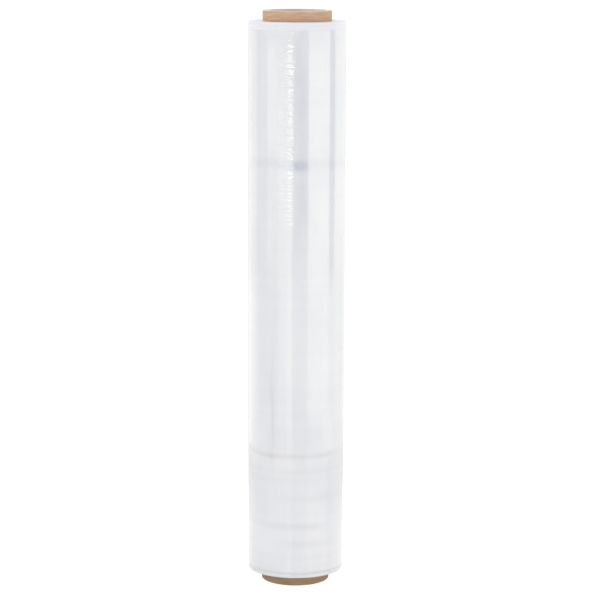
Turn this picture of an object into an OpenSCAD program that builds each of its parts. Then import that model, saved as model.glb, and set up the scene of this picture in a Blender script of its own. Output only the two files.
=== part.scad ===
// Hand roll of clear stretch film on a spiral-wound paper core.
// The roll stands on its lower core end: origin on the axis at that end, +Z along the core.
// Azimuth 0 is +X, the front of the roll is -Y.

/* [Paper core] */
// Length of the core, end to end
core_length = 520; // [515:1:900]
// Bore of the core
core_bore = 50.8; // [25:0.1:80]
// Wall of the core
core_wall = 5.4; // [3:0.1:12]
// Number of paper plies glued into the wall
ply_count = 5; // [3:1:8]
// Depth of the line between two plies on a cut end
ply_line_depth = 0.2; // [0.05:0.01:0.4]
// Width of the line between two plies on a cut end
ply_line_width = 0.3; // [0.1:0.01:0.35]
// Bevel left by the saw on the edges of the cut ends
core_edge = 0.3; // [0.1:0.05:1]

/* [Film] */
// Width of the film, which is the length of the winding
film_width = 500; // [440:1:509]
// Thickness of the film
film_gauge = 0.020; // [0.008:0.001:0.040]
// Length of film on the roll
film_run = 150000; // [60000:1000:400000]
// Share of the winding that is film, the rest being trapped air
winding_density = 0.99; // [0.9:0.005:1]
// Bare core below the winding
core_showing = 10.6; // [0:0.1:60]

/* [Ends of the winding] */
// Distance between the ridges that the wound edges draw on each end face
ridge_pitch = 1.6; // [0.8:0.05:2.5]
// Depth of the valley between two ridges
ridge_depth = 0.22; // [0.05:0.01:0.4]
// Height of the upper shoulder, where the film edges lie looser
shoulder_height = 7; // [3:0.5:25]
// Radius that the upper shoulder loses
shoulder_drop = 0.45; // [0.1:0.05:1.5]
// Height of the lip at the lower end, up to the bottom of its groove
lip_height = 4.5; // [2:0.1:8]
// Depth of the groove above the lip
lip_groove_depth = 0.4; // [0.1:0.05:1]
// Rounding of the winding's two corners
corner_radius = 0.6; // [0.2:0.05:1.5]

/* [Outside of the winding] */
// Step at the free end of the film, where the last turn stops
tail_step = 0.15; // [0.05:0.01:0.6]
// Azimuth of the free end of the film, behind the roll
tail_azimuth = 62; // [0:1:360]
// Height above the film's lower edge of the single slack band
high_band_height = 375; // [250:1:440]
// Half height of the single slack band
high_band_reach = 8; // [4:0.5:20]
// Depth of the single slack band
high_band_depth = 0.3; // [0.05:0.05:0.8]
// Height above the film's lower edge of the first of the low slack bands
low_band_height = 31.4; // [14:0.2:40]
// Distance between the low slack bands
low_band_pitch = 16.6; // [10:0.1:20]
// Number of low slack bands
low_band_count = 6; // [0:1:9]
// Half height of a low slack band
low_band_reach = 4; // [2:0.1:4.8]
// Depth of the deepest low slack band
low_band_depth = 0.25; // [0.05:0.05:0.6]

/* [Hidden] */
$fn = 96;

core_od = core_bore + 2 * core_wall;
ply_thickness = core_wall / ply_count;
film_section = film_run * film_gauge / winding_density;
roll_radius = sqrt(pow(core_od / 2, 2) + film_section / PI);
film_bottom = core_showing;
film_top = film_bottom + film_width;
// Width of the level part of an end face, from the core to the rounded corner
end_face_width = roll_radius - shoulder_drop - corner_radius - core_od / 2;
// The spiral starts half a pitch out from the core and ends inside the corner all round
ridge_count = floor(end_face_width / ridge_pitch - 1.5);
// Steps in a quarter of a rounded corner
corner_steps = 2;
// Radius beyond every turn, for the blank that carries the end faces
blank_radius = roll_radius + ridge_pitch + tail_step;
// How far a cutting tool runs past the faces that it cuts through
cut_margin = 1;

// One V line in a level face at height z, cut to one side of it: side is 1 for downwards, -1 for upwards.
function v_line(r, width, depth, z, side) =
    [[r - width / 2, z], [r, z - side * depth], [r + width / 2, z]];

function flat_list(lists) = [for (points = lists) for (p = points) p];

function reversed(points) = [for (i = [len(points) - 1 : -1 : 0]) points[i]];

// Radii of the lines between the plies of the core.
function ply_radius(i) = core_bore / 2 + i * ply_thickness;

// A cut end of the core, from the bore outwards, with its saw bevels and ply lines.
function core_end(z, side) = concat(
    [[core_bore / 2, z - side * core_edge], [core_bore / 2 + core_edge, z]],
    flat_list([for (i = [1 : ply_count - 1]) v_line(ply_radius(i), ply_line_width, ply_line_depth, z, side)]),
    [[core_od / 2 - core_edge, z], [core_od / 2, z - side * core_edge]]
);

// Spiral-wound paper tube, one solid, open right through.
module core() {
    color([0.78, 0.64, 0.52])
        rotate_extrude()
            polygon(concat(core_end(0, -1), reversed(core_end(core_length, 1))));
}

// A slack band at height z: the winding is softer here and its surface dips.
function slack_band(z, reach, depth) = [
    [roll_radius, z - reach],
    [roll_radius - depth, z - 0.3 * reach],
    [roll_radius - depth, z + 0.3 * reach],
    [roll_radius, z + reach]
];

// The low bands differ in depth, because the film's gauge wanders across its width.
function low_band_share(i) = 0.65 + 0.35 * cos(140 * i);

// Quarter-round corner centred at [r, z], through the angles from a0 to a1.
function corner(r, z, a0, a1) = [
    for (i = [0 : corner_steps])
        let (a = a0 + (a1 - a0) * i / corner_steps)
            [r + corner_radius * cos(a), z + corner_radius * sin(a)]
];

// The lip's groove, up to where the winding is full again.
function lip_groove() = [
    [roll_radius, film_bottom + 0.6 * lip_height],
    [roll_radius - lip_groove_depth, film_bottom + lip_height],
    [roll_radius, film_bottom + 1.7 * lip_height]
];

// The upper shoulder, from its crease up to the corner.
function shoulder() = [
    [roll_radius, film_top - shoulder_height],
    [roll_radius - 0.4 * shoulder_drop, film_top - 0.6 * shoulder_height]
];

// Half section of the winding, filled in to the axis.
module winding_section() {
    polygon(concat(
        [[0, film_bottom]],
        corner(roll_radius - corner_radius, film_bottom + corner_radius, -90, 0),
        lip_groove(),
        flat_list([
            for (i = [0 : low_band_count - 1])
                slack_band(
                    film_bottom + low_band_height + i * low_band_pitch,
                    low_band_reach,
                    low_band_depth * low_band_share(i)
                )
        ]),
        slack_band(film_bottom + high_band_height, high_band_reach, high_band_depth),
        shoulder(),
        corner(roll_radius - shoulder_drop - corner_radius, film_top - corner_radius, 0, 90),
        [[0, film_top]]
    ));
}

function ridge_radius(i) = core_od / 2 + (i + 0.5) * ridge_pitch;

// The ridges on an end face at height z, from the core outwards: crests with a valley between each two.
function ridges(z, side) = concat(
    flat_list([
        for (i = [0 : ridge_count - 1])
            [[ridge_radius(i), z], [ridge_radius(i + 0.5), z - side * ridge_depth]]
    ]),
    [[ridge_radius(ridge_count), z]]
);

// Half section of a blank as tall as the winding, whose two ends carry the ridges.
module ridged_section() {
    polygon(concat(
        [[0, film_bottom]],
        ridges(film_bottom, -1),
        [[blank_radius, film_bottom], [blank_radius, film_top]],
        reversed(ridges(film_top, 1)),
        [[0, film_top]]
    ));
}

// A section swept once round as a spiral of two half circles: the second half is centred half a step
// aside and is half a step larger, so the surface runs on smoothly and grows by one step each turn.
module spiral_turn(step) {
    rotate_extrude(angle = 180)
        children();
    translate([-step / 2, 0, 0])
        rotate_extrude(angle = 180, start = 180)
            translate([step / 2, 0])
                children();
}

// All turns of the film, one solid, wound tight on the core.
module film() {
    color([0.90, 0.90, 0.93])
        difference() {
            intersection() {
                rotate([0, 0, tail_azimuth - 180])
                    spiral_turn(tail_step) winding_section();
                rotate([0, 0, tail_azimuth - 180])
                    spiral_turn(ridge_pitch) ridged_section();
            }
            translate([0, 0, film_bottom - cut_margin])
                cylinder(d = core_od, h = film_width + 2 * cut_margin);
        }
}

core();
film();
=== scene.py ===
"""Studio scene of a hand roll of clear stretch film on its paper core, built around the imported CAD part.

All lengths are in metres in the CAD frame: the roll stands on the origin, +Z is up and the camera is
towards -Y. Azimuths are angles about the roll's axis, 0 at +X and growing counter-clockwise from above.
Front angles are in degrees from the camera's side, + to the camera's right.
"""

import math

import bpy
import numpy as np
from mathutils import Matrix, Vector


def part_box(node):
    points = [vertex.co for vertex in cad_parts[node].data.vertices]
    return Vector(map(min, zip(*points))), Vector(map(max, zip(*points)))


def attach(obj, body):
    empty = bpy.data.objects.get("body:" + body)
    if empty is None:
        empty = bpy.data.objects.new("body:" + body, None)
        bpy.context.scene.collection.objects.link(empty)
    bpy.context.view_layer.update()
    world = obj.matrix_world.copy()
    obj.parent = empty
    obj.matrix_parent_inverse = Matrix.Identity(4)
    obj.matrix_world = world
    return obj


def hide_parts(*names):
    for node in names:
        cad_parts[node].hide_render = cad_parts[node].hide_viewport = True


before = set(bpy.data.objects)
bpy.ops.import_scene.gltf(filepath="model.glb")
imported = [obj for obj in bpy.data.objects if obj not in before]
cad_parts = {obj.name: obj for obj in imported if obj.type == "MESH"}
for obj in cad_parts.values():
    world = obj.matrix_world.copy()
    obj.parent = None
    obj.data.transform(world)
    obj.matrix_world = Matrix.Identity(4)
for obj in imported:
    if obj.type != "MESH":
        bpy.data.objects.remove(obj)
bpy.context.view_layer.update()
core_low, core_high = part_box("core")
film_low, film_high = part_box("film")

MM = 0.001
TURN = 2 * math.pi

# Sizes of the core
CORE_LENGTH = core_high.z - core_low.z
CORE_RADIUS = 30.8 * MM
BORE_RADIUS = 25.4 * MM
CORE_EDGE = 0.3 * MM
PLY_COUNT = 5
PLY_LINE_DEPTH = 0.2 * MM
PLY_LINE_WIDTH = 0.3 * MM
# How far past the bore's radius the paper has the bore's greyer colour
LINING_MARGIN = 0.2 * MM

# Butt joint between two turns of the core's outer ply
SEAM_LEAD = 92 * MM
SEAM_DEPTH = 0.12 * MM
SEAM_REACH = 1.1 * MM
SEAM_START = math.radians(200)

# Sizes of the winding
FILM_BOTTOM = film_low.z
FILM_TOP = film_high.z
ROLL_RADIUS = 43.70 * MM
CORNER_RADIUS = 0.6 * MM
TAIL_STEP = 0.15 * MM
TAIL_AZIMUTH = math.radians(62)
SHOULDER_HEIGHT = 7 * MM
SHOULDER_DROP = 0.45 * MM
LIP_HEIGHT = 3.6 * MM
LIP_GROOVE_DEPTH = 0.3 * MM
LIP_GROOVE_REACH = 0.65 * LIP_HEIGHT

# Ridges of the wound edges on the end faces, broad ones and fine ones
RIDGE_PITCH = 1.6 * MM
RIDGE_DEPTH = 0.22 * MM
EDGE_PITCH = 0.55 * MM
EDGE_DEPTH = 0.06 * MM
# The ridges fade out over one part in this many of an end face, beside the core and beside the corner
RIDGE_FADE_PARTS = 6

# Slack bands, with heights above the film's lower edge
HIGH_BAND_HEIGHT = 375 * MM
HIGH_BAND_REACH = 8 * MM
HIGH_BAND_DEPTH = 0.2 * MM
LOW_BAND_REACH = 4 * MM
LOW_BAND_DEPTH = 0.07 * MM
LOW_BAND_WANDER = 1.2 * MM
LOWER_STEP_HEIGHT = 112.8 * MM
# Height of each low slack band and its share of the full depth
LOW_BANDS = (
    (18.6 * MM, 0.4), (31.4 * MM, 1.0), (48.0 * MM, 1.0),
    (73.5 * MM, 0.85), (90.0 * MM, 0.5), (98.2 * MM, 0.8),
)

# Crooked crease down the left front
CREASE_BOTTOM = 133 * MM
CREASE_TOP = 240 * MM
CREASE_ANGLE = -29
CREASE_REACH = 3.6
CREASE_SWAY = 0.8
CREASE_BENDS = 9
# Share of its height at which the crease is deepest
CREASE_PEAK = 0.3
CREASE_DEPTH = 0.08 * MM

# Fine slanting wrinkles on the front
WRINKLE_ANGLE = -9
WRINKLE_SPREAD = 19
WRINKLE_MIDDLE = 410 * MM
WRINKLE_REACH = 90 * MM
WRINKLE_PITCH = 2.7 * MM
WRINKLE_SLANT = 0.15
WRINKLE_BEND = 2.4
WRINKLE_DEPTH = 0.045 * MM
RIGHT_WRINKLE_ANGLE = 51
RIGHT_WRINKLE_SPREAD = 6
LOW_WRINKLE_ANGLE = -13
LOW_WRINKLE_SPREAD = 11
LOW_WRINKLE_MIDDLE = 300 * MM
LOW_WRINKLE_REACH = 70 * MM

# Front angle and height of each blister
BLISTERS = ((-9.5, 310 * MM), (-14.5, 285 * MM), (-23.5, 226 * MM), (0.5, 457 * MM), (-20, 350 * MM))
BLISTER_SIZE = 1.6 * MM
BLISTER_DEPTH = 0.12 * MM

# Small waviness all over the winding
SLOW_WAVE_DEPTH = 0.012 * MM
QUICK_WAVE_DEPTH = 0.004 * MM

# Clearer places of the film and places of painted shade: how dull each one looks and how far it reaches
HIGH_BAND_DULL = 0.24
# Painted shade: the dent is darker on the camera's side, where the film reflects the dark front
DENT_PAINTED_SHADE = 0.9
DENT_REACH = 7 * MM
DENT_ANGLE = 3
DENT_SPREAD = 16
# The low bands are clearer film, darker still on the camera's side as painted shade
LOW_BAND_DULL = 0.28
LOW_BAND_DULL_REACH = 5.5 * MM
LOW_BAND_ANGLE = 10
LOW_BAND_SPREAD = 50
CREASE_DULL = 0.45
# Painted shade along the groove above the lip
LIP_PAINTED_SHADE = 0.45
LIP_SHADE_REACH = 2.4 * MM
# Painted shade at the lower step, where the film reflects the table's dark edge
LOWER_STEP_SHADE_REACH = 4 * MM
LOWER_STEP_ANGLE = -2
LOWER_STEP_SPREAD = 80
# Stripes of painted shade where the film reflects the dark front and the dark gap on the right: darkness,
# front angle, spread, lower end and the height over which they fade in
FRONT_SHADE_STRIPE = (0.30, 4.5, 13, 290 * MM, 40 * MM)
RIGHT_SHADE_STRIPE = (0.15, 46.5, 4, 250 * MM, 60 * MM)

# Heights between which the colour of the clear film and of its painted shade turns from a neutral tint to a
# bluer one
NEUTRAL_TOP = 130 * MM
BLUER_BOTTOM = 160 * MM

# Meshing
FINE_COLUMNS = 34
COARSE_COLUMNS = 104
FILM_COLUMNS = FINE_COLUMNS + COARSE_COLUMNS
FILM_ROW_STEP = 1.3 * MM
WRINKLE_ROW_STEP = 0.5 * MM
END_ROW_STEP = 0.6 * MM
END_ROWS_HEIGHT = 12 * MM
END_RINGS = 26
CORNER_STEPS = 4
CORE_COLUMNS = 192
CORE_ROW_STEP = 0.8 * MM
# How far the rows of the bare core run on under the film
CORE_ROW_OVERLAP = 1 * MM
BORE_ROWS = 14

# Table top, with its tone by the distance from the roll's axis: a painted shadow under the core, then a
# painted pool of light that dims outwards
TABLE_RADIUS = 0.558
TABLE_EDGE = 6.5 * MM
RIM_POINTS = 96
TABLE_PAINTED_LIGHT_TONES = (
    (0.042, (0.10, 0.10, 0.09)),
    (0.060, (0.92, 0.915, 0.893)),
    (0.20, (0.86, 0.855, 0.834)),
    (0.42, (0.58, 0.577, 0.563)),
)

# Lights
CARD_DISTANCE = 1.2
OVERHEAD_HEIGHT = 1.7
OVERHEAD_SIZE = 1.4
OVERHEAD_RADIANCE = 2.2
SEEN_STRENGTH = 1.05
FILL_STRENGTH = 0.508
FILL_COLOUR = (0.98, 1.0, 1.06, 1)

# The photograph's camera
LENS = 135.41
SENSOR_WIDTH = 36
CAMERA_PLACE = (0, -2.0, 0.6002)
CAMERA_YAW = math.radians(-0.0328)
CAMERA_PITCH = math.radians(90 - 9.616)
CAMERA_ROLL = math.radians(0.2278)


# Helpers


def add_object(name, data):
    """A new object in the scene."""
    made = bpy.data.objects.new(name, data)
    bpy.context.scene.collection.objects.link(made)
    return made


def new_piece(name, vertices, faces, node_name, materials, face_materials=None, shares=None):
    """A smooth-shaded mesh that stands for a CAD node and rides with it."""
    mesh = bpy.data.meshes.new(name)
    mesh.from_pydata([tuple(v) for v in vertices], [], faces)
    mesh.polygons.foreach_set("use_smooth", [True] * len(mesh.polygons))
    for made in materials:
        mesh.materials.append(made)
    if face_materials is not None:
        mesh.polygons.foreach_set("material_index", face_materials)
    for key, values in (shares or {}).items():
        mesh.attributes.new(key, "FLOAT", "POINT").data.foreach_set("value", values.astype(np.float32))
    piece = add_object(name, mesh)
    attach(piece, "root")
    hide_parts(node_name)


def revolved(rings, azimuth):
    """Vertices of rings of (radius, height), each of which is one number or a value for each column."""
    vertices = []
    for radius, z in rings:
        radius = np.broadcast_to(radius, azimuth.shape)
        z = np.broadcast_to(z, azimuth.shape)
        vertices.append(np.stack([radius * np.cos(azimuth), radius * np.sin(azimuth), z], axis=1))
    return np.concatenate(vertices)


def ring_faces(row_count, columns):
    """Quads between successive rings, and between the last ring and the first."""
    faces = []
    for row in range(row_count):
        low = row * columns
        high = (row + 1) % row_count * columns
        for column in range(columns):
            turn = (column + 1) % columns
            faces.append((low + column, low + turn, high + turn, high + column))
    return faces


def smooth(share):
    """Eases from 0 to 1 as share goes from 0 to 1."""
    share = np.clip(share, 0, 1)
    return share * share * (3 - 2 * share)


def hump(value, centre, reach):
    """Smooth hump of height 1 at centre that ends a reach away on both sides."""
    return smooth(1 - np.abs(value - centre) / reach)


def plateau(value, centre, reach, steepness):
    """A level hump of height 1 that ends a reach away; the steeper it is, the later it falls off."""
    return smooth(steepness - steepness * np.abs(value - centre) / reach)


def hoop_noise(azimuth, height, seed, cells_round, cell_height):
    """Smooth noise from -1 to 1 over the winding, seamless round the hoop."""
    rows = int(CORE_LENGTH / cell_height) + 3
    lattice = np.random.default_rng(seed).uniform(-1, 1, (rows, cells_round))
    across = azimuth / TURN * cells_round
    up = height / cell_height
    column, row = np.floor(across).astype(int), np.floor(up).astype(int)
    s, t = smooth(across - column), smooth(up - row)
    column, after = column % cells_round, (column + 1) % cells_round
    low = lattice[row, column] * (1 - s) + lattice[row, after] * s
    high = lattice[row + 1, column] * (1 - s) + lattice[row + 1, after] * s
    return low * (1 - t) + high * t


def round_noise(azimuth, seed, cells_round):
    """Smooth noise from -1 to 1 that changes only round the hoop."""
    one_height = np.full_like(azimuth, 0.01)
    return hoop_noise(azimuth, one_height, seed, cells_round, cell_height=0.1)


# Winding


def front_angle(azimuth):
    """Angle from the camera's side in degrees, + to the camera's right."""
    return np.degrees((azimuth + 1.5 * math.pi) % TURN - math.pi)


def crease_share(azimuth, height):
    """The crooked crease down the left front, from 0 to 1."""
    up = (height - CREASE_BOTTOM) / (CREASE_TOP - CREASE_BOTTOM)
    line = CREASE_ANGLE + CREASE_SWAY * np.sin(CREASE_BENDS * up)
    return hump(front_angle(azimuth), line, CREASE_REACH) * hump(up, CREASE_PEAK, 1 - CREASE_PEAK)


def wrinkle_patch(azimuth, height):
    """Where the film is finely wrinkled, from 0 to 1."""
    angle = front_angle(azimuth)
    up = plateau(height, WRINKLE_MIDDLE, WRINKLE_REACH, steepness=4)
    across = plateau(angle, WRINKLE_ANGLE, WRINKLE_SPREAD, steepness=1.5)
    right = 0.5 * hump(angle, RIGHT_WRINKLE_ANGLE, RIGHT_WRINKLE_SPREAD)
    return up * np.maximum(across, right)


def crinkle_patch(azimuth, height):
    """Where the finest wrinkles are: in the same patch and, fading, further down."""
    across = 0.5 * hump(front_angle(azimuth), LOW_WRINKLE_ANGLE, LOW_WRINKLE_SPREAD)
    lower = across * hump(height, LOW_WRINKLE_MIDDLE, LOW_WRINKLE_REACH)
    return np.maximum(wrinkle_patch(azimuth, height), lower)


def wrinkle(azimuth, height):
    """Short slanting wrinkles of uneven strength, from 0 to 1."""
    across = np.radians(front_angle(azimuth)) * ROLL_RADIUS
    bend = WRINKLE_BEND * hoop_noise(azimuth, height, seed=5, cells_round=30, cell_height=9 * MM)
    share = 0.5 + 0.5 * hoop_noise(azimuth, height, seed=6, cells_round=36, cell_height=5 * MM)
    return share * (0.5 + 0.5 * np.sin(TURN * (height + WRINKLE_SLANT * across) / WRINKLE_PITCH + bend))


def inward(azimuth, height):
    """How far the winding's surface lies inside its full radius."""
    up = height - FILM_BOTTOM
    down = FILM_TOP - height
    drop = HIGH_BAND_DEPTH * hump(up, HIGH_BAND_HEIGHT, HIGH_BAND_REACH)
    for i, (middle, share) in enumerate(LOW_BANDS):
        wander = LOW_BAND_WANDER * round_noise(azimuth, seed=20 + i, cells_round=6)
        drop = drop + LOW_BAND_DEPTH * share * hump(up, middle + wander, LOW_BAND_REACH)
    drop = drop + LOW_BAND_DEPTH * hump(up, LOWER_STEP_HEIGHT, LOW_BAND_REACH)
    drop = drop + LIP_GROOVE_DEPTH * hump(up, LIP_HEIGHT, LIP_GROOVE_REACH)
    drop = drop + SHOULDER_DROP * smooth(1 - down / SHOULDER_HEIGHT)
    drop = drop + CREASE_DEPTH * crease_share(azimuth, height)
    drop = drop + WRINKLE_DEPTH * wrinkle_patch(azimuth, height) * wrinkle(azimuth, height)
    for angle, middle in BLISTERS:
        across = np.radians(front_angle(azimuth) - angle) * ROLL_RADIUS
        away = np.hypot(across, height - middle) / BLISTER_SIZE
        drop = drop + BLISTER_DEPTH * np.exp(-away ** 2)
    slow = 0.5 + 0.5 * hoop_noise(azimuth, height, seed=3, cells_round=7, cell_height=11 * MM)
    quick = 0.5 + 0.5 * hoop_noise(azimuth, height, seed=4, cells_round=16, cell_height=3 * MM)
    return drop + SLOW_WAVE_DEPTH * slow + QUICK_WAVE_DEPTH * quick


def shade_stripe(angle, up, darkness, middle, spread, bottom, fade):
    """A stripe of painted shade down the winding that fades in above its lower end."""
    return darkness * smooth((up - bottom) / fade) * hump(angle, middle, spread)


def dull_and_shade_share(azimuth, height):
    """Where the winding looks duller, from 0 to 1: clearer film in the slack bands and darker along the
    crease, with painted shade in the dent, the stripes, the lip groove, the lower step and on the camera's
    side of the low bands.
    """
    up = height - FILM_BOTTOM
    angle = front_angle(azimuth)
    dull_and_shade = HIGH_BAND_DULL * hump(up, HIGH_BAND_HEIGHT, 1.2 * HIGH_BAND_REACH)
    # Painted shade in the dent on the camera's side
    dull_and_shade += DENT_PAINTED_SHADE * hump(up, HIGH_BAND_HEIGHT, DENT_REACH) * hump(angle, DENT_ANGLE, DENT_SPREAD)
    mottled = 0.8 + 0.5 * hoop_noise(azimuth, height, seed=7, cells_round=40, cell_height=14 * MM)
    # Painted shade where the film reflects dark parts of the studio
    dull_and_shade += mottled * shade_stripe(angle, up, *FRONT_SHADE_STRIPE)
    dull_and_shade += shade_stripe(angle, up, *RIGHT_SHADE_STRIPE)
    for i, (middle, share) in enumerate(LOW_BANDS):
        patchy = 0.4 + 0.7 * hoop_noise(azimuth, height, seed=30 + i, cells_round=9, cell_height=30 * MM)
        # Painted shade: stronger on the camera's side
        patchy += 0.5 * hump(angle, LOW_BAND_ANGLE, LOW_BAND_SPREAD)
        dull_and_shade += LOW_BAND_DULL * share * np.clip(patchy, 0, 1.2) * hump(up, middle, LOW_BAND_DULL_REACH)
    dull_and_shade += CREASE_DULL * crease_share(azimuth, height)
    # Painted shade along the lip groove
    dull_and_shade += LIP_PAINTED_SHADE * hump(up, LIP_HEIGHT, LIP_SHADE_REACH)
    # Painted shade at the lower step: the reflection of the table's dark edge
    blotched = 0.8 + 0.5 * round_noise(azimuth, seed=40, cells_round=14)
    step = hump(up, LOWER_STEP_HEIGHT, LOWER_STEP_SHADE_REACH)
    dull_and_shade += blotched * step * hump(angle, LOWER_STEP_ANGLE, LOWER_STEP_SPREAD)
    return np.clip(dull_and_shade, 0, 1)


def hoop_radius(turned):
    """Full radius at an angle past the film's free end: two half circles, one step apart there."""
    return ROLL_RADIUS + np.where(turned < math.pi, TAIL_STEP / 2 * (1 + np.cos(turned)), 0)


def winding_radius(turned, height):
    """Radius of the winding's surface in each column at a height."""
    azimuth = TAIL_AZIMUTH + turned
    return hoop_radius(turned) - inward(azimuth, np.full_like(azimuth, height))


def film_turn():
    """Angles of the columns past the film's free end, closer together where the film is wrinkled."""
    middle = (math.radians(270 + WRINKLE_ANGLE) - TAIL_AZIMUTH) % TURN
    start, end = middle - math.radians(WRINKLE_SPREAD), middle + math.radians(WRINKLE_SPREAD)
    before = round(COARSE_COLUMNS * start / (TURN - end + start))
    return np.concatenate([
        np.linspace(0, start, before, endpoint=False),
        np.linspace(start, end, FINE_COLUMNS, endpoint=False),
        np.linspace(end, TURN - TAIL_STEP / ROLL_RADIUS, COARSE_COLUMNS - before),
    ])


def film_rows():
    """Heights of the rings on the outside of the winding, closer together at the ends and the wrinkles."""
    low, high = FILM_BOTTOM + CORNER_RADIUS, FILM_TOP - CORNER_RADIUS
    fine = WRINKLE_MIDDLE - WRINKLE_REACH
    spans = (
        (low, low + END_ROWS_HEIGHT, END_ROW_STEP),
        (low + END_ROWS_HEIGHT, fine, FILM_ROW_STEP),
        (fine, high - END_ROWS_HEIGHT, WRINKLE_ROW_STEP),
        (high - END_ROWS_HEIGHT, high, END_ROW_STEP),
    )
    rows = []
    for start, end, step in spans:
        rows.append(np.linspace(start, end, round((end - start) / step), endpoint=False))
    return np.concatenate([*rows, [high]])


def end_face_rings(turned, height, side):
    """Rings on an end face, from the core to the corner. Side is 1 at the top and -1 at the bottom."""
    edge = winding_radius(turned, height) - CORNER_RADIUS
    rings = []
    for i in range(END_RINGS):
        share = i / END_RINGS
        radius = CORE_RADIUS + (edge - CORE_RADIUS) * share
        phase = (radius - CORE_RADIUS) / RIDGE_PITCH - turned / TURN
        fine_phase = (radius - CORE_RADIUS) / EDGE_PITCH - turned / TURN
        valley = 0.5 - 0.5 * np.cos(TURN * phase)
        fine = 0.5 - 0.5 * np.cos(TURN * fine_phase)
        calm = smooth(share * RIDGE_FADE_PARTS) * smooth((1 - share) * RIDGE_FADE_PARTS)
        depth = (RIDGE_DEPTH * valley + EDGE_DEPTH * fine) * calm
        rings.append((radius, height - side * depth))
    return rings


def corner_rings(turned, height, side):
    """Rings round a corner, from its end face to the outside. Side is 1 at the top and -1 at the bottom."""
    edge = winding_radius(turned, height - side * CORNER_RADIUS)
    rings = []
    for i in range(CORNER_STEPS):
        angle = math.radians(90 * i / CORNER_STEPS)
        radius = edge - CORNER_RADIUS * (1 - math.sin(angle))
        rings.append((radius, height - side * CORNER_RADIUS * (1 - math.cos(angle))))
    return rings


def film_rings(turned):
    """All rings of the winding: out over the lower end, up the outside and in over the upper end."""
    rings = end_face_rings(turned, FILM_BOTTOM, -1)
    rings += corner_rings(turned, FILM_BOTTOM, -1)
    rings += [(winding_radius(turned, z), z) for z in film_rows()]
    rings += reversed(corner_rings(turned, FILM_TOP, 1))
    rings += reversed(end_face_rings(turned, FILM_TOP, 1))
    return rings


def is_tight(radius, height):
    """Whether a ring lies on the outside of the winding, below its looser shoulder."""
    outside = radius.mean() > ROLL_RADIUS - 1.5 * SHOULDER_DROP
    return outside and np.mean(height) < FILM_TOP - SHOULDER_HEIGHT


def film_mesh():
    """Vertices of the winding, its faces, which faces are looser film edges, and its shares by vertex."""
    turned = film_turn()
    azimuth = TAIL_AZIMUTH + turned
    rings = film_rings(turned)
    vertices = revolved(rings, azimuth)
    around = np.tile(azimuth, len(rings))
    shares = {
        "dull_and_shade": dull_and_shade_share(around, vertices[:, 2]),
        "wrinkled": crinkle_patch(around, vertices[:, 2]),
    }
    edge_rings = [not is_tight(radius, z) for radius, z in rings]
    edge_faces = np.repeat(edge_rings, FILM_COLUMNS).astype(np.int32)
    return vertices, ring_faces(len(rings), FILM_COLUMNS), edge_faces, shares


# Core


def seam_groove(azimuth, height):
    """Depth of the butt joint between two turns of the outer ply."""
    along = ((azimuth - SEAM_START) / TURN - height / SEAM_LEAD) % 1
    away = np.minimum(along, 1 - along) * SEAM_LEAD
    return SEAM_DEPTH * smooth(1 - away / SEAM_REACH)


def cut_end():
    """Radius and depth of the points across a cut end of the core, from the outside to the bore."""
    ply = (CORE_RADIUS - BORE_RADIUS) / PLY_COUNT
    half = PLY_LINE_WIDTH / 2
    across = [(CORE_RADIUS - CORE_EDGE, 0)]
    for i in range(PLY_COUNT - 1, 0, -1):
        line = BORE_RADIUS + i * ply
        across += [(line + half, 0), (line, PLY_LINE_DEPTH), (line - half, 0)]
    return across + [(BORE_RADIUS + CORE_EDGE, 0)]


def core_mesh():
    """The core's vertices and faces: up the outside, in over the top, down the bore, out over the bottom."""
    azimuth = np.linspace(0, TURN, CORE_COLUMNS, endpoint=False)
    top = CORE_LENGTH - CORE_EDGE
    heights = np.concatenate([
        np.arange(CORE_EDGE, FILM_BOTTOM + CORE_ROW_OVERLAP, CORE_ROW_STEP),
        np.arange(FILM_TOP - CORE_ROW_OVERLAP, top, CORE_ROW_STEP),
        [top],
    ])
    rings = [(CORE_RADIUS - seam_groove(azimuth, z), z) for z in heights]
    rings += [(radius, CORE_LENGTH - depth) for radius, depth in cut_end()]
    rings += [(BORE_RADIUS, z) for z in np.linspace(top, CORE_EDGE, BORE_ROWS)]
    rings += reversed(cut_end())
    return revolved(rings, azimuth), ring_faces(len(rings), CORE_COLUMNS)


# Material nodes


def material(name):
    """A new node material and its Principled shader."""
    made = bpy.data.materials.new(name)
    made.use_nodes = True
    return made, made.node_tree.nodes["Principled BSDF"]


def node(mat, kind, inputs=None, **settings):
    """Adds a node, sets its properties, and fills or links its inputs."""
    tree = mat.node_tree
    made = tree.nodes.new(kind)
    for key, value in settings.items():
        setattr(made, key, value)
    for key, value in (inputs or {}).items():
        if isinstance(value, bpy.types.NodeSocket):
            tree.links.new(value, made.inputs[key])
        else:
            made.inputs[key].default_value = value
    return made


def ramp(mat, factor, *stops):
    """A colour ramp through (position, colour) stops."""
    made = node(mat, "ShaderNodeValToRGB", {"Fac": factor})
    elements = made.color_ramp.elements
    while len(elements) < len(stops):
        elements.new(0.5)
    for element, (position, colour) in zip(elements, stops):
        element.position = position
        element.color = (*colour, 1)
    return made.outputs["Color"]


def maths(mat, operation, a, b=0.0):
    """One arithmetic node."""
    return node(mat, "ShaderNodeMath", {0: a, 1: b}, operation=operation).outputs[0]


def weighted(mat, first, first_share, second, second_share):
    """The sum of two values, each times its share."""
    first_part = maths(mat, "MULTIPLY", first, first_share)
    second_part = maths(mat, "MULTIPLY", second, second_share)
    return maths(mat, "ADD", first_part, second_part)


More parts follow.
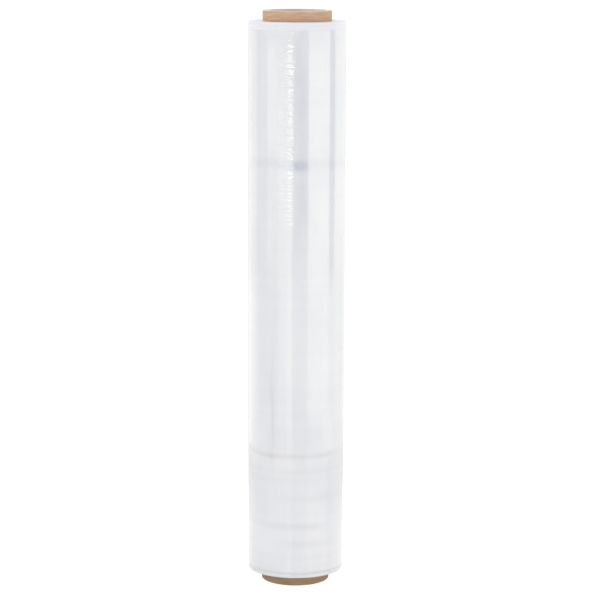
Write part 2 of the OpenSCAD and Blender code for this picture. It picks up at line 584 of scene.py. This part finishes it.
def blend(mat, factor, first, second):
    """Mixes two colours."""
    made = node(mat, "ShaderNodeMix", {"Factor": factor}, data_type="RGBA")
    for socket, value in ((made.inputs[6], first), (made.inputs[7], second)):
        if isinstance(value, bpy.types.NodeSocket):
            mat.node_tree.links.new(value, socket)
        else:
            socket.default_value = (*value, 1)
    return made.outputs[2]


def noise(mat, place, scale, detail):
    """Noise stretched by a scale along each axis."""
    space = node(mat, "ShaderNodeMapping", {"Vector": place, "Scale": scale}).outputs[0]
    return node(mat, "ShaderNodeTexNoise", {"Vector": space, "Scale": 1.0, "Detail": detail}).outputs["Fac"]


def axis_distance(mat, place):
    """Distance from the roll's axis."""
    split = node(mat, "ShaderNodeSeparateXYZ", {"Vector": place}).outputs
    squares = maths(mat, "ADD", maths(mat, "POWER", split[0], 2.0), maths(mat, "POWER", split[1], 2.0))
    return maths(mat, "SQRT", squares)


def ring_noise(mat, radius, scale, detail):
    """Noise that changes only with the distance from the axis."""
    inputs = {"W": maths(mat, "MULTIPLY", radius, scale), "Scale": 1.0, "Detail": detail}
    return node(mat, "ShaderNodeTexNoise", inputs, noise_dimensions="1D").outputs["Fac"]


def faces_end(mat, coords, least):
    """1 where the surface faces up or down, 0 elsewhere."""
    facing = node(mat, "ShaderNodeSeparateXYZ", {"Vector": coords.outputs["Normal"]}).outputs[2]
    return maths(mat, "GREATER_THAN", maths(mat, "ABSOLUTE", facing), least)


def bumped(mat, height, strength, distance, under=None):
    """A bump over the plain surface, or over the bump that lies under it."""
    inputs = {"Height": height, "Strength": strength, "Distance": distance}
    if under is not None:
        inputs["Normal"] = under
    return node(mat, "ShaderNodeBump", inputs).outputs[0]


# Materials of the roll


def film_colour(mat, place):
    """Milky and faintly lavender, with duller patches of clearer film and of painted shade."""
    clouds = noise(mat, place, scale=(32, 32, 16), detail=4.0)
    hoops = noise(mat, place, scale=(12, 12, 190), detail=2.0)
    mottle = weighted(mat, clouds, 0.8, hoops, 0.2)
    milky = ramp(mat, mottle, (0.36, (0.706, 0.710, 0.772)), (0.64, (0.754, 0.753, 0.808)))
    dull_and_shade = node(mat, "ShaderNodeAttribute", attribute_name="dull_and_shade").outputs["Fac"]
    height = node(mat, "ShaderNodeSeparateXYZ", {"Vector": place}).outputs[2]
    change = {"Value": height, "From Min": NEUTRAL_TOP, "From Max": BLUER_BOTTOM}
    upper = node(mat, "ShaderNodeMapRange", change).outputs[0]
    # The colour of clearer film and of painted shade
    clear = blend(mat, upper, (0.585, 0.575, 0.605), (0.56, 0.57, 0.66))
    return blend(mat, dull_and_shade, milky, clear)


def film_relief(mat, place):
    """Hoop-wise streaks and small bubbles, with crinkles over them in the wrinkled patch."""
    streaks = noise(mat, place, scale=(14, 14, 900), detail=2.0)
    bubbles = node(mat, "ShaderNodeTexVoronoi", {"Vector": place, "Scale": 55.0}).outputs["Distance"]
    rise = {"Value": bubbles, "From Min": 0.05, "From Max": 0.11, "To Min": 1.0, "To Max": 0.0}
    blister = node(mat, "ShaderNodeMapRange", rise, interpolation_type="SMOOTHSTEP").outputs[0]
    relief = weighted(mat, streaks, 0.12, blister, 0.5)
    under = bumped(mat, relief, strength=0.3, distance=0.2 * MM)
    wrinkled = node(mat, "ShaderNodeAttribute", attribute_name="wrinkled").outputs["Fac"]
    crinkles = maths(mat, "MULTIPLY", noise(mat, place, scale=(110, 110, 520), detail=1.0), wrinkled)
    return bumped(mat, crinkles, strength=1.0, distance=0.35 * MM, under=under)


def film_material():
    """Clear film in many turns: milky and glossy."""
    mat, shader = material("stretch_film")
    links = mat.node_tree.links
    place = node(mat, "ShaderNodeTexCoord").outputs["Object"]
    links.new(film_colour(mat, place), shader.inputs["Base Color"])
    relief = film_relief(mat, place)
    links.new(relief, shader.inputs["Normal"])
    links.new(relief, shader.inputs["Coat Normal"])
    shader.inputs["Roughness"].default_value = 0.28
    shader.inputs["IOR"].default_value = 1.4
    shader.inputs["Coat Weight"].default_value = 1.0
    shader.inputs["Coat Roughness"].default_value = 0.07
    shader.inputs["Coat IOR"].default_value = 1.7
    return mat


def film_edge_material():
    """The film's looser edges: whiter and less glossy at the shoulder, and in rings on the end faces."""
    mat, shader = material("stretch_film_edge")
    links = mat.node_tree.links
    coords = node(mat, "ShaderNodeTexCoord")
    place = coords.outputs["Object"]
    radius = axis_distance(mat, place)
    rings = ring_noise(mat, radius, scale=5200.0, detail=3.0)
    clouds = noise(mat, place, scale=(45, 45, 200), detail=3.0)
    tone = weighted(mat, rings, 0.5, clouds, 0.5)
    milky = ramp(mat, tone, (0.38, (0.76, 0.76, 0.825)), (0.62, (0.80, 0.80, 0.86)))
    end_face = faces_end(mat, coords, 0.6)
    wide_rings = ring_noise(mat, radius, scale=1300.0, detail=3.0)
    turns = ramp(mat, wide_rings, (0.38, (0.54, 0.545, 0.61)), (0.60, (0.78, 0.78, 0.835)))
    links.new(blend(mat, end_face, milky, turns), shader.inputs["Base Color"])
    links.new(bumped(mat, tone, strength=0.4, distance=0.2 * MM), shader.inputs["Normal"])
    shader.inputs["Roughness"].default_value = 0.42
    shader.inputs["IOR"].default_value = 1.5
    shader.inputs["Coat Weight"].default_value = 0.3
    shader.inputs["Coat Roughness"].default_value = 0.3
    return mat


def kraft_material():
    """Kraft paper: tan, matt, fibrous, with fine rings on the cut ends and a greyer bore."""
    mat, shader = material("kraft_paper")
    links = mat.node_tree.links
    coords = node(mat, "ShaderNodeTexCoord")
    place = coords.outputs["Object"]
    radius = axis_distance(mat, place)
    on_cut_end = faces_end(mat, coords, 0.5)

    streaks = noise(mat, place, scale=(70, 70, 900), detail=4.0)
    fibres = noise(mat, place, scale=(1500, 1500, 2600), detail=3.0)
    blotches = noise(mat, place, scale=(60, 60, 90), detail=3.0)
    grain = weighted(mat, streaks, 0.6, fibres, 0.4)
    dark, tan, light = (0.48, 0.295, 0.185), (0.61, 0.395, 0.26), (0.71, 0.485, 0.34)
    paper = ramp(mat, grain, (0.36, dark), (0.50, tan), (0.64, light))
    stained = ramp(mat, blotches, (0.35, (0, 0, 0)), (0.7, (0.35, 0.35, 0.35)))
    paper = blend(mat, stained, paper, (0.62, 0.385, 0.235))

    rings = ring_noise(mat, radius, scale=2400.0, detail=2.0)
    dark, tan, light = (0.50, 0.40, 0.315), (0.71, 0.585, 0.49), (0.82, 0.71, 0.615)
    edges = ramp(mat, rings, (0.3, dark), (0.5, tan), (0.7, light))
    colour = blend(mat, on_cut_end, paper, edges)

    in_bore = maths(mat, "LESS_THAN", radius, BORE_RADIUS + LINING_MARGIN)
    lining = ramp(mat, grain, (0.35, (0.55, 0.46, 0.39)), (0.65, (0.74, 0.65, 0.57)))
    colour = blend(mat, in_bore, colour, lining)
    links.new(colour, shader.inputs["Base Color"])

    rough = node(mat, "ShaderNodeMapRange", {"Value": grain, "To Min": 0.72, "To Max": 0.92}).outputs[0]
    links.new(rough, shader.inputs["Roughness"])
    shader.inputs["Specular IOR Level"].default_value = 0.25
    links.new(bumped(mat, grain, strength=0.5, distance=0.2 * MM), shader.inputs["Normal"])
    return mat


# Studio


def add_card(name, azimuths, heights, radiance, colour, lights_film):
    """An upright soft light that faces the roll, between two front angles and two heights."""
    middle = math.radians(sum(azimuths) / 2)
    half = math.radians((azimuths[1] - azimuths[0]) / 2)
    light = bpy.data.lights.new(name, "AREA")
    light.shape = "RECTANGLE"
    light.size = 2 * CARD_DISTANCE * math.tan(half)
    light.size_y = heights[1] - heights[0]
    light.energy = radiance * math.pi * light.size * light.size_y
    light.color = colour
    card = add_object(name, light)
    card.location = (CARD_DISTANCE * math.sin(middle), -CARD_DISTANCE * math.cos(middle), sum(heights) / 2)
    card.rotation_euler = (math.pi / 2, 0, middle)
    card.visible_camera = False
    card.visible_diffuse = lights_film


def add_cards():
    """Soft lights round the roll, each a column of cards with one radiance for each level of height."""
    levels = (
        (-0.5, -0.17), (-0.17, -0.12), (-0.12, 0.10), (0.10, 0.28),
        (0.28, 0.36), (0.36, 0.425), (0.425, 0.52), (0.52, 1.0),
    )
    warm, pale, blue = (1.0, 1.0, 0.80), (1.0, 0.99, 0.86), (0.0, 0.15, 1.0)
    columns = (
        ("backdrop", (150, 210), (0.5, 0.5, 0.50, 0.45, 0.45, 0.45, 0.45, 0.6), pale),
        ("back_left", (-150, -107), (0.8, 0.8, 0.75, 0.66, 0.66, 0.66, 0.60, 0.9), pale),
        ("dark_left", (-107, -95), (0.7, 0.7, 0.50, 0.15, 0.25, 0.25, 0.1, 0.5), pale),
        ("shade_left", (-95, -72), (0.85, 0.6, 0.40, 0.25, 0.42, 0.45, 0.4, 1.1), pale),
        ("wide_left", (-72, -44), (0.6, 0.15, 0.52, 0.75, 1.15, 1.45, 0.6, 0.7), pale),
        ("near_left", (-44, -21), (0.6, 0.05, 0.95, 1.20, 1.20, 2.10, 0.5, 0.5), pale),
        ("strip", (-21, -9), (1.1, 0.6, 1.25, 1.35, 2.80, 5.60, 0.3, 0.5), warm),
        ("front", (-9, 27), (0.6, 0.15, 0.52, 0.10, 0, 0.10, 0.4, 0), pale),
        ("window", (-9, 27), (0, 0, 0, 0.15, 0.25, 0.35, 0.4, 0.4), blue),
        ("soft_right", (27, 66), (1.0, 0.45, 1.25, 1.48, 1.62, 1.70, 1.2, 0.2), pale),
        ("flank_right", (66, 82), (1.05, 0.8, 1.25, 1.38, 1.52, 1.60, 1.4, 0.2), pale),
        ("dark_right", (82, 98), (1.0, 1.0, 0.80, 0.05, 0, 0, 0, 0.5), pale),
        ("back_right", (98, 125), (0.5, 0.5, 0.80, 0.92, 0.95, 0.92, 0.90, 1.0), pale),
        ("far_right", (125, 150), (0.5, 0.5, 0.55, 0.64, 0.72, 0.74, 0.70, 1.0), pale),
    )
    for name, azimuths, radiances, colour in columns:
        # The blue window shows only as a reflection in the film
        lights_film = name != "window"
        for i, radiance in enumerate(radiances):
            if radiance:
                add_card(f"{name}_{i}", azimuths, levels[i], radiance, colour, lights_film)


def add_overhead():
    """A broad soft light above the roll."""
    light = bpy.data.lights.new("overhead", "AREA")
    light.size = OVERHEAD_SIZE
    light.energy = OVERHEAD_RADIANCE * math.pi * light.size ** 2
    overhead = add_object("overhead", light)
    overhead.location = (0, 0, OVERHEAD_HEIGHT)
    overhead.visible_camera = False


def add_camera():
    """The photograph's camera."""
    data = bpy.data.cameras.new("camera")
    data.lens = LENS
    data.sensor_width = SENSOR_WIDTH
    camera = add_object("camera", data)
    turn = (
        Matrix.Rotation(CAMERA_YAW, 4, "Z")
        @ Matrix.Rotation(CAMERA_PITCH, 4, "X")
        @ Matrix.Rotation(CAMERA_ROLL, 4, "Z")
    )
    camera.matrix_world = Matrix.Translation(CAMERA_PLACE) @ turn
    bpy.context.scene.camera = camera


def add_world():
    """White for the camera, dimmer for what lights the roll."""
    world = bpy.data.worlds.new("studio")
    world.use_nodes = True
    nodes, links = world.node_tree.nodes, world.node_tree.links
    nodes.clear()
    path = nodes.new("ShaderNodeLightPath")
    seen = nodes.new("ShaderNodeBackground")
    seen.inputs["Color"].default_value = (1, 1, 1, 1)
    seen.inputs["Strength"].default_value = SEEN_STRENGTH
    fill = nodes.new("ShaderNodeBackground")
    fill.inputs["Color"].default_value = FILL_COLOUR
    fill.inputs["Strength"].default_value = FILL_STRENGTH
    mix = nodes.new("ShaderNodeMixShader")
    links.new(path.outputs["Is Camera Ray"], mix.inputs["Fac"])
    links.new(fill.outputs[0], mix.inputs[1])
    links.new(seen.outputs[0], mix.inputs[2])
    out = nodes.new("ShaderNodeOutputWorld")
    links.new(mix.outputs[0], out.inputs["Surface"])
    bpy.context.scene.world = world


def table_material():
    """Plain white to the camera with a faint shadow, and greyer in what it throws back on the roll: a
    painted shadow under the core and a painted pool of light, which also sets a faint glow that lights the
    roll.
    """
    mat, shader = material("table_white")
    links = mat.node_tree.links
    place = node(mat, "ShaderNodeTexCoord").outputs["Object"]
    away = node(mat, "ShaderNodeVectorMath", {0: place}, operation="LENGTH").outputs["Value"]
    # Painted shadow under the core and a painted pool of light round it
    tone = ramp(mat, away, *TABLE_PAINTED_LIGHT_TONES)
    links.new(tone, shader.inputs["Base Color"])
    shader.inputs["Emission Color"].default_value = (1, 1, 0.98, 1)
    shader.inputs["Roughness"].default_value = 0.08
    seen = node(mat, "ShaderNodeLightPath").outputs["Is Camera Ray"]
    # Glows white to the camera, and faintly by the painted tone for the roll
    links.new(weighted(mat, seen, 0.93, tone, 0.15), shader.inputs["Emission Strength"])
    return mat


def add_table_top(rim):
    """The round table top that the roll stands on."""
    mesh = bpy.data.meshes.new("floor")
    mesh.from_pydata([(x, y, 0) for x, y in rim], [], [tuple(range(RIM_POINTS))])
    mesh.materials.append(table_material())
    return add_object("floor", mesh)


def add_table_edge(rim):
    """The thin edge of the table, painted near-black as shade, which only reflections see."""
    corners = [(x, y, z) for z in (-TABLE_EDGE, 0) for x, y in rim]
    faces = []
    for i in range(RIM_POINTS):
        after = (i + 1) % RIM_POINTS
        faces.append((i, after, RIM_POINTS + after, RIM_POINTS + i))
    mesh = bpy.data.meshes.new("table_edge")
    mesh.from_pydata(corners, [], faces)
    dark, edge_shade_shader = material("table_edge_painted_shade")
    # Painted shade: a near-black edge that the film reflects as a dark arc
    edge_shade_shader.inputs["Base Color"].default_value = (0.05, 0.05, 0.06, 1)
    mesh.materials.append(dark)
    edge = add_object("table_edge", mesh)
    edge.visible_camera = False
    return edge


def add_floor():
    """The white table top and its edge."""
    angles = [i * TURN / RIM_POINTS for i in range(RIM_POINTS)]
    rim = [(TABLE_RADIUS * math.cos(a), TABLE_RADIUS * math.sin(a)) for a in angles]
    floor = add_table_top(rim)
    edge = add_table_edge(rim)


add_camera()
add_world()
add_floor()

vertices, faces, edge_faces, shares = film_mesh()
film_materials = [film_material(), film_edge_material()]
new_piece("film_winding", vertices, faces, "film", film_materials, edge_faces, shares)

vertices, faces = core_mesh()
new_piece("paper_core", vertices, faces, "core", [kraft_material()])

add_cards()
add_overhead()
bpy.context.scene.view_settings.view_transform = "Standard"
